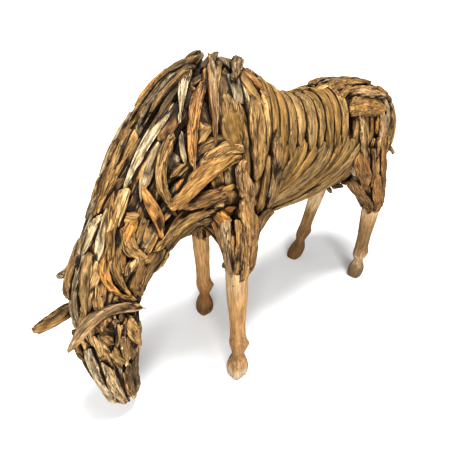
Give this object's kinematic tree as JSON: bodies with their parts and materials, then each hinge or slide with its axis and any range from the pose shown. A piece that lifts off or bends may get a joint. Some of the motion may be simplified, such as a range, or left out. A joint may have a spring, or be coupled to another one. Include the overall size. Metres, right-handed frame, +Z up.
{
  "type": "driftwood horse sculpture",
  "caption": "Life-size grazing horse built of weathered driftwood sticks, head down, mane of fanned sticks, on four carved legs.",
  "frame": {"origin": "on the floor under the middle of the horse's overall length and width", "axes": "+Z up; the horse faces -X, and its left side is -Y"},
  "size_m": [1.9941, 0.5274, 1.3092],
  "materials": {
    "tan_driftwood": "dry, matt, sun-bleached tan driftwood with open grain, worm holes and splits",
    "brown_driftwood": "dry, matt, darker brown driftwood with open grain and dark splits",
    "grey_driftwood": "dry, matt, silver-grey weathered driftwood",
    "orange_driftwood": "dry, matt driftwood with a warm orange heart-wood tone",
    "carved_wood": "turned solid wood, smoother and slightly polished, with pale worn patches"
  },
  "bodies": {
    "root": {"barrel_ribs": "tan_driftwood", "cheek_plank": "tan_driftwood", "chest_leaf": "tan_driftwood", "chest_plank": "brown_driftwood", "crest_rod": "tan_driftwood", "haunch_plank_a": "tan_driftwood", "haunch_plank_b": "grey_driftwood", "haunch_plank_c": "tan_driftwood", "head_sticks": "tan_driftwood", "left_ear": "grey_driftwood", "left_fore_leg": "carved_wood", "left_forearm_sticks": "brown_driftwood", "left_hind_leg": "carved_wood", "left_thigh_sticks": "brown_driftwood", "lower_neck_sticks": "tan_driftwood", "mane_stick_a": "brown_driftwood", "mane_stick_b": "grey_driftwood", "mane_stick_c": "tan_driftwood", "mane_stick_d": "tan_driftwood", "mane_stick_e": "orange_driftwood", "mane_stick_f": "tan_driftwood", "mane_stick_g": "grey_driftwood", "mane_stick_i": "tan_driftwood", "mane_stick_j": "grey_driftwood", "mane_stick_k": "orange_driftwood", "mane_stick_l": "grey_driftwood", "mane_stick_m": "grey_driftwood", "mane_stick_n": "brown_driftwood", "mane_stick_o": "brown_driftwood", "nose_plank_a": "grey_driftwood", "nose_plank_b": "tan_driftwood", "right_ear": "tan_driftwood", "right_fore_leg": "carved_wood", "right_forearm_sticks": "brown_driftwood", "right_haunch_plank": "tan_driftwood", "right_hind_leg": "carved_wood", "right_mane_stick_a": "brown_driftwood", "right_mane_stick_b": "grey_driftwood", "right_mane_stick_c": "tan_driftwood", "right_nose_plank": "tan_driftwood", "right_shoulder_plank": "tan_driftwood", "right_thigh_sticks": "brown_driftwood", "rump_stick_a": "brown_driftwood", "rump_stick_b": "orange_driftwood", "rump_sticks": "tan_driftwood", "shoulder_plank_a": "tan_driftwood", "shoulder_plank_b": "tan_driftwood", "shoulder_plank_c": "brown_driftwood", "shoulder_plate": "tan_driftwood", "shoulder_sticks": "tan_driftwood", "tail_spike": "tan_driftwood", "tail_stick_a": "brown_driftwood", "tail_stick_b": "tan_driftwood", "throat_plank": "tan_driftwood", "upper_neck_sticks": "tan_driftwood", "withers_plate": "orange_driftwood"}
  },
  "joints": []
}
